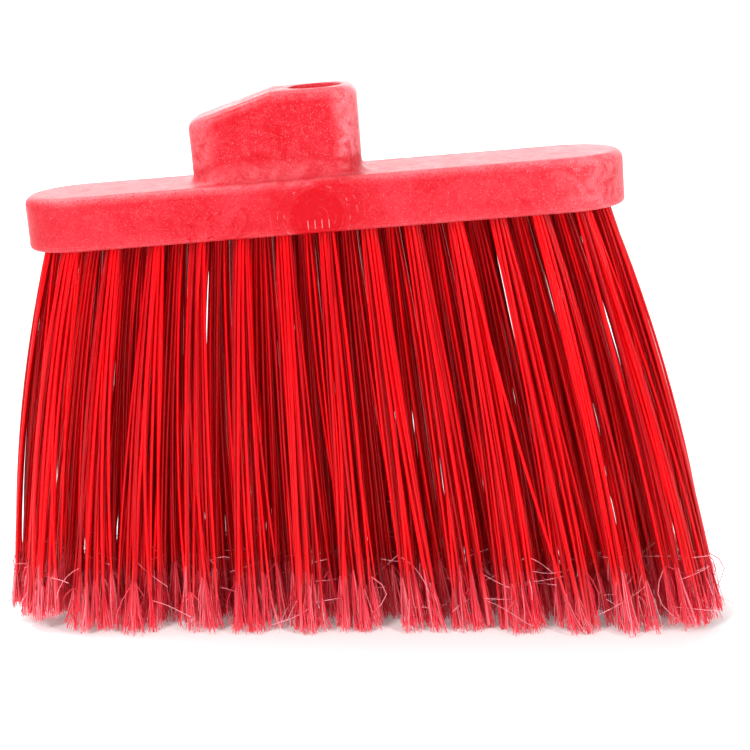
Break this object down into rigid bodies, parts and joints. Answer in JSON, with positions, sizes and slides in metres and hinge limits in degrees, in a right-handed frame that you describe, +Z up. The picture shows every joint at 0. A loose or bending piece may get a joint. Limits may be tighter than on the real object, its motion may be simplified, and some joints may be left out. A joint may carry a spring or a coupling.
{
  "type": "angle broom head",
  "caption": "Flared, angle-cut broom head: a rounded block with a raised, threaded handle socket and staggered rows of long bristle tufts.",
  "frame": {"origin": "centre of the overall box, on the plane of the bristle tips that the head stands on", "axes": "+X along the block towards its raised end, +Y from front to back, +Z up from the bristle tips"},
  "size_m": [0.3233, 0.0773, 0.2323],
  "materials": {
    "block": "foamed plastic with a satin skin, fine pale flecks and flow swirls",
    "bristles": "extruded filaments with a soft gloss and split, paler tips",
    "anchor_wire": "plain flat wire"
  },
  "bodies": {
    "root": {"block": "block", "outer_tufts_01": "bristles", "outer_tufts_02": "bristles", "outer_tufts_03": "bristles", "outer_tufts_04": "bristles", "outer_tufts_05": "bristles", "outer_tufts_06": "bristles", "outer_tufts_07": "bristles", "outer_tufts_08": "bristles", "outer_tufts_09": "bristles", "outer_tufts_10": "bristles", "outer_tufts_11": "bristles", "outer_tufts_12": "bristles", "outer_tufts_13": "bristles", "inner_tufts_01": "bristles", "inner_tufts_02": "bristles", "inner_tufts_03": "bristles", "inner_tufts_04": "bristles", "inner_tufts_05": "bristles", "inner_tufts_06": "bristles", "inner_tufts_07": "bristles", "inner_tufts_08": "bristles", "inner_tufts_09": "bristles", "inner_tufts_10": "bristles", "inner_tufts_11": "bristles", "inner_tufts_12": "bristles", "inner_tufts_13": "bristles", "inner_tufts_14": "bristles", "middle_tuft_01": "bristles", "middle_tuft_02": "bristles", "middle_tuft_03": "bristles", "middle_tuft_04": "bristles", "middle_tuft_05": "bristles", "middle_tuft_06": "bristles", "middle_tuft_07": "bristles", "middle_tuft_08": "bristles", "middle_tuft_09": "bristles", "middle_tuft_10": "bristles", "middle_tuft_11": "bristles", "middle_tuft_12": "bristles", "middle_tuft_13": "bristles", "outer_anchors": "anchor_wire", "inner_anchors": "anchor_wire", "middle_anchors": "anchor_wire"}
  },
  "joints": []
}
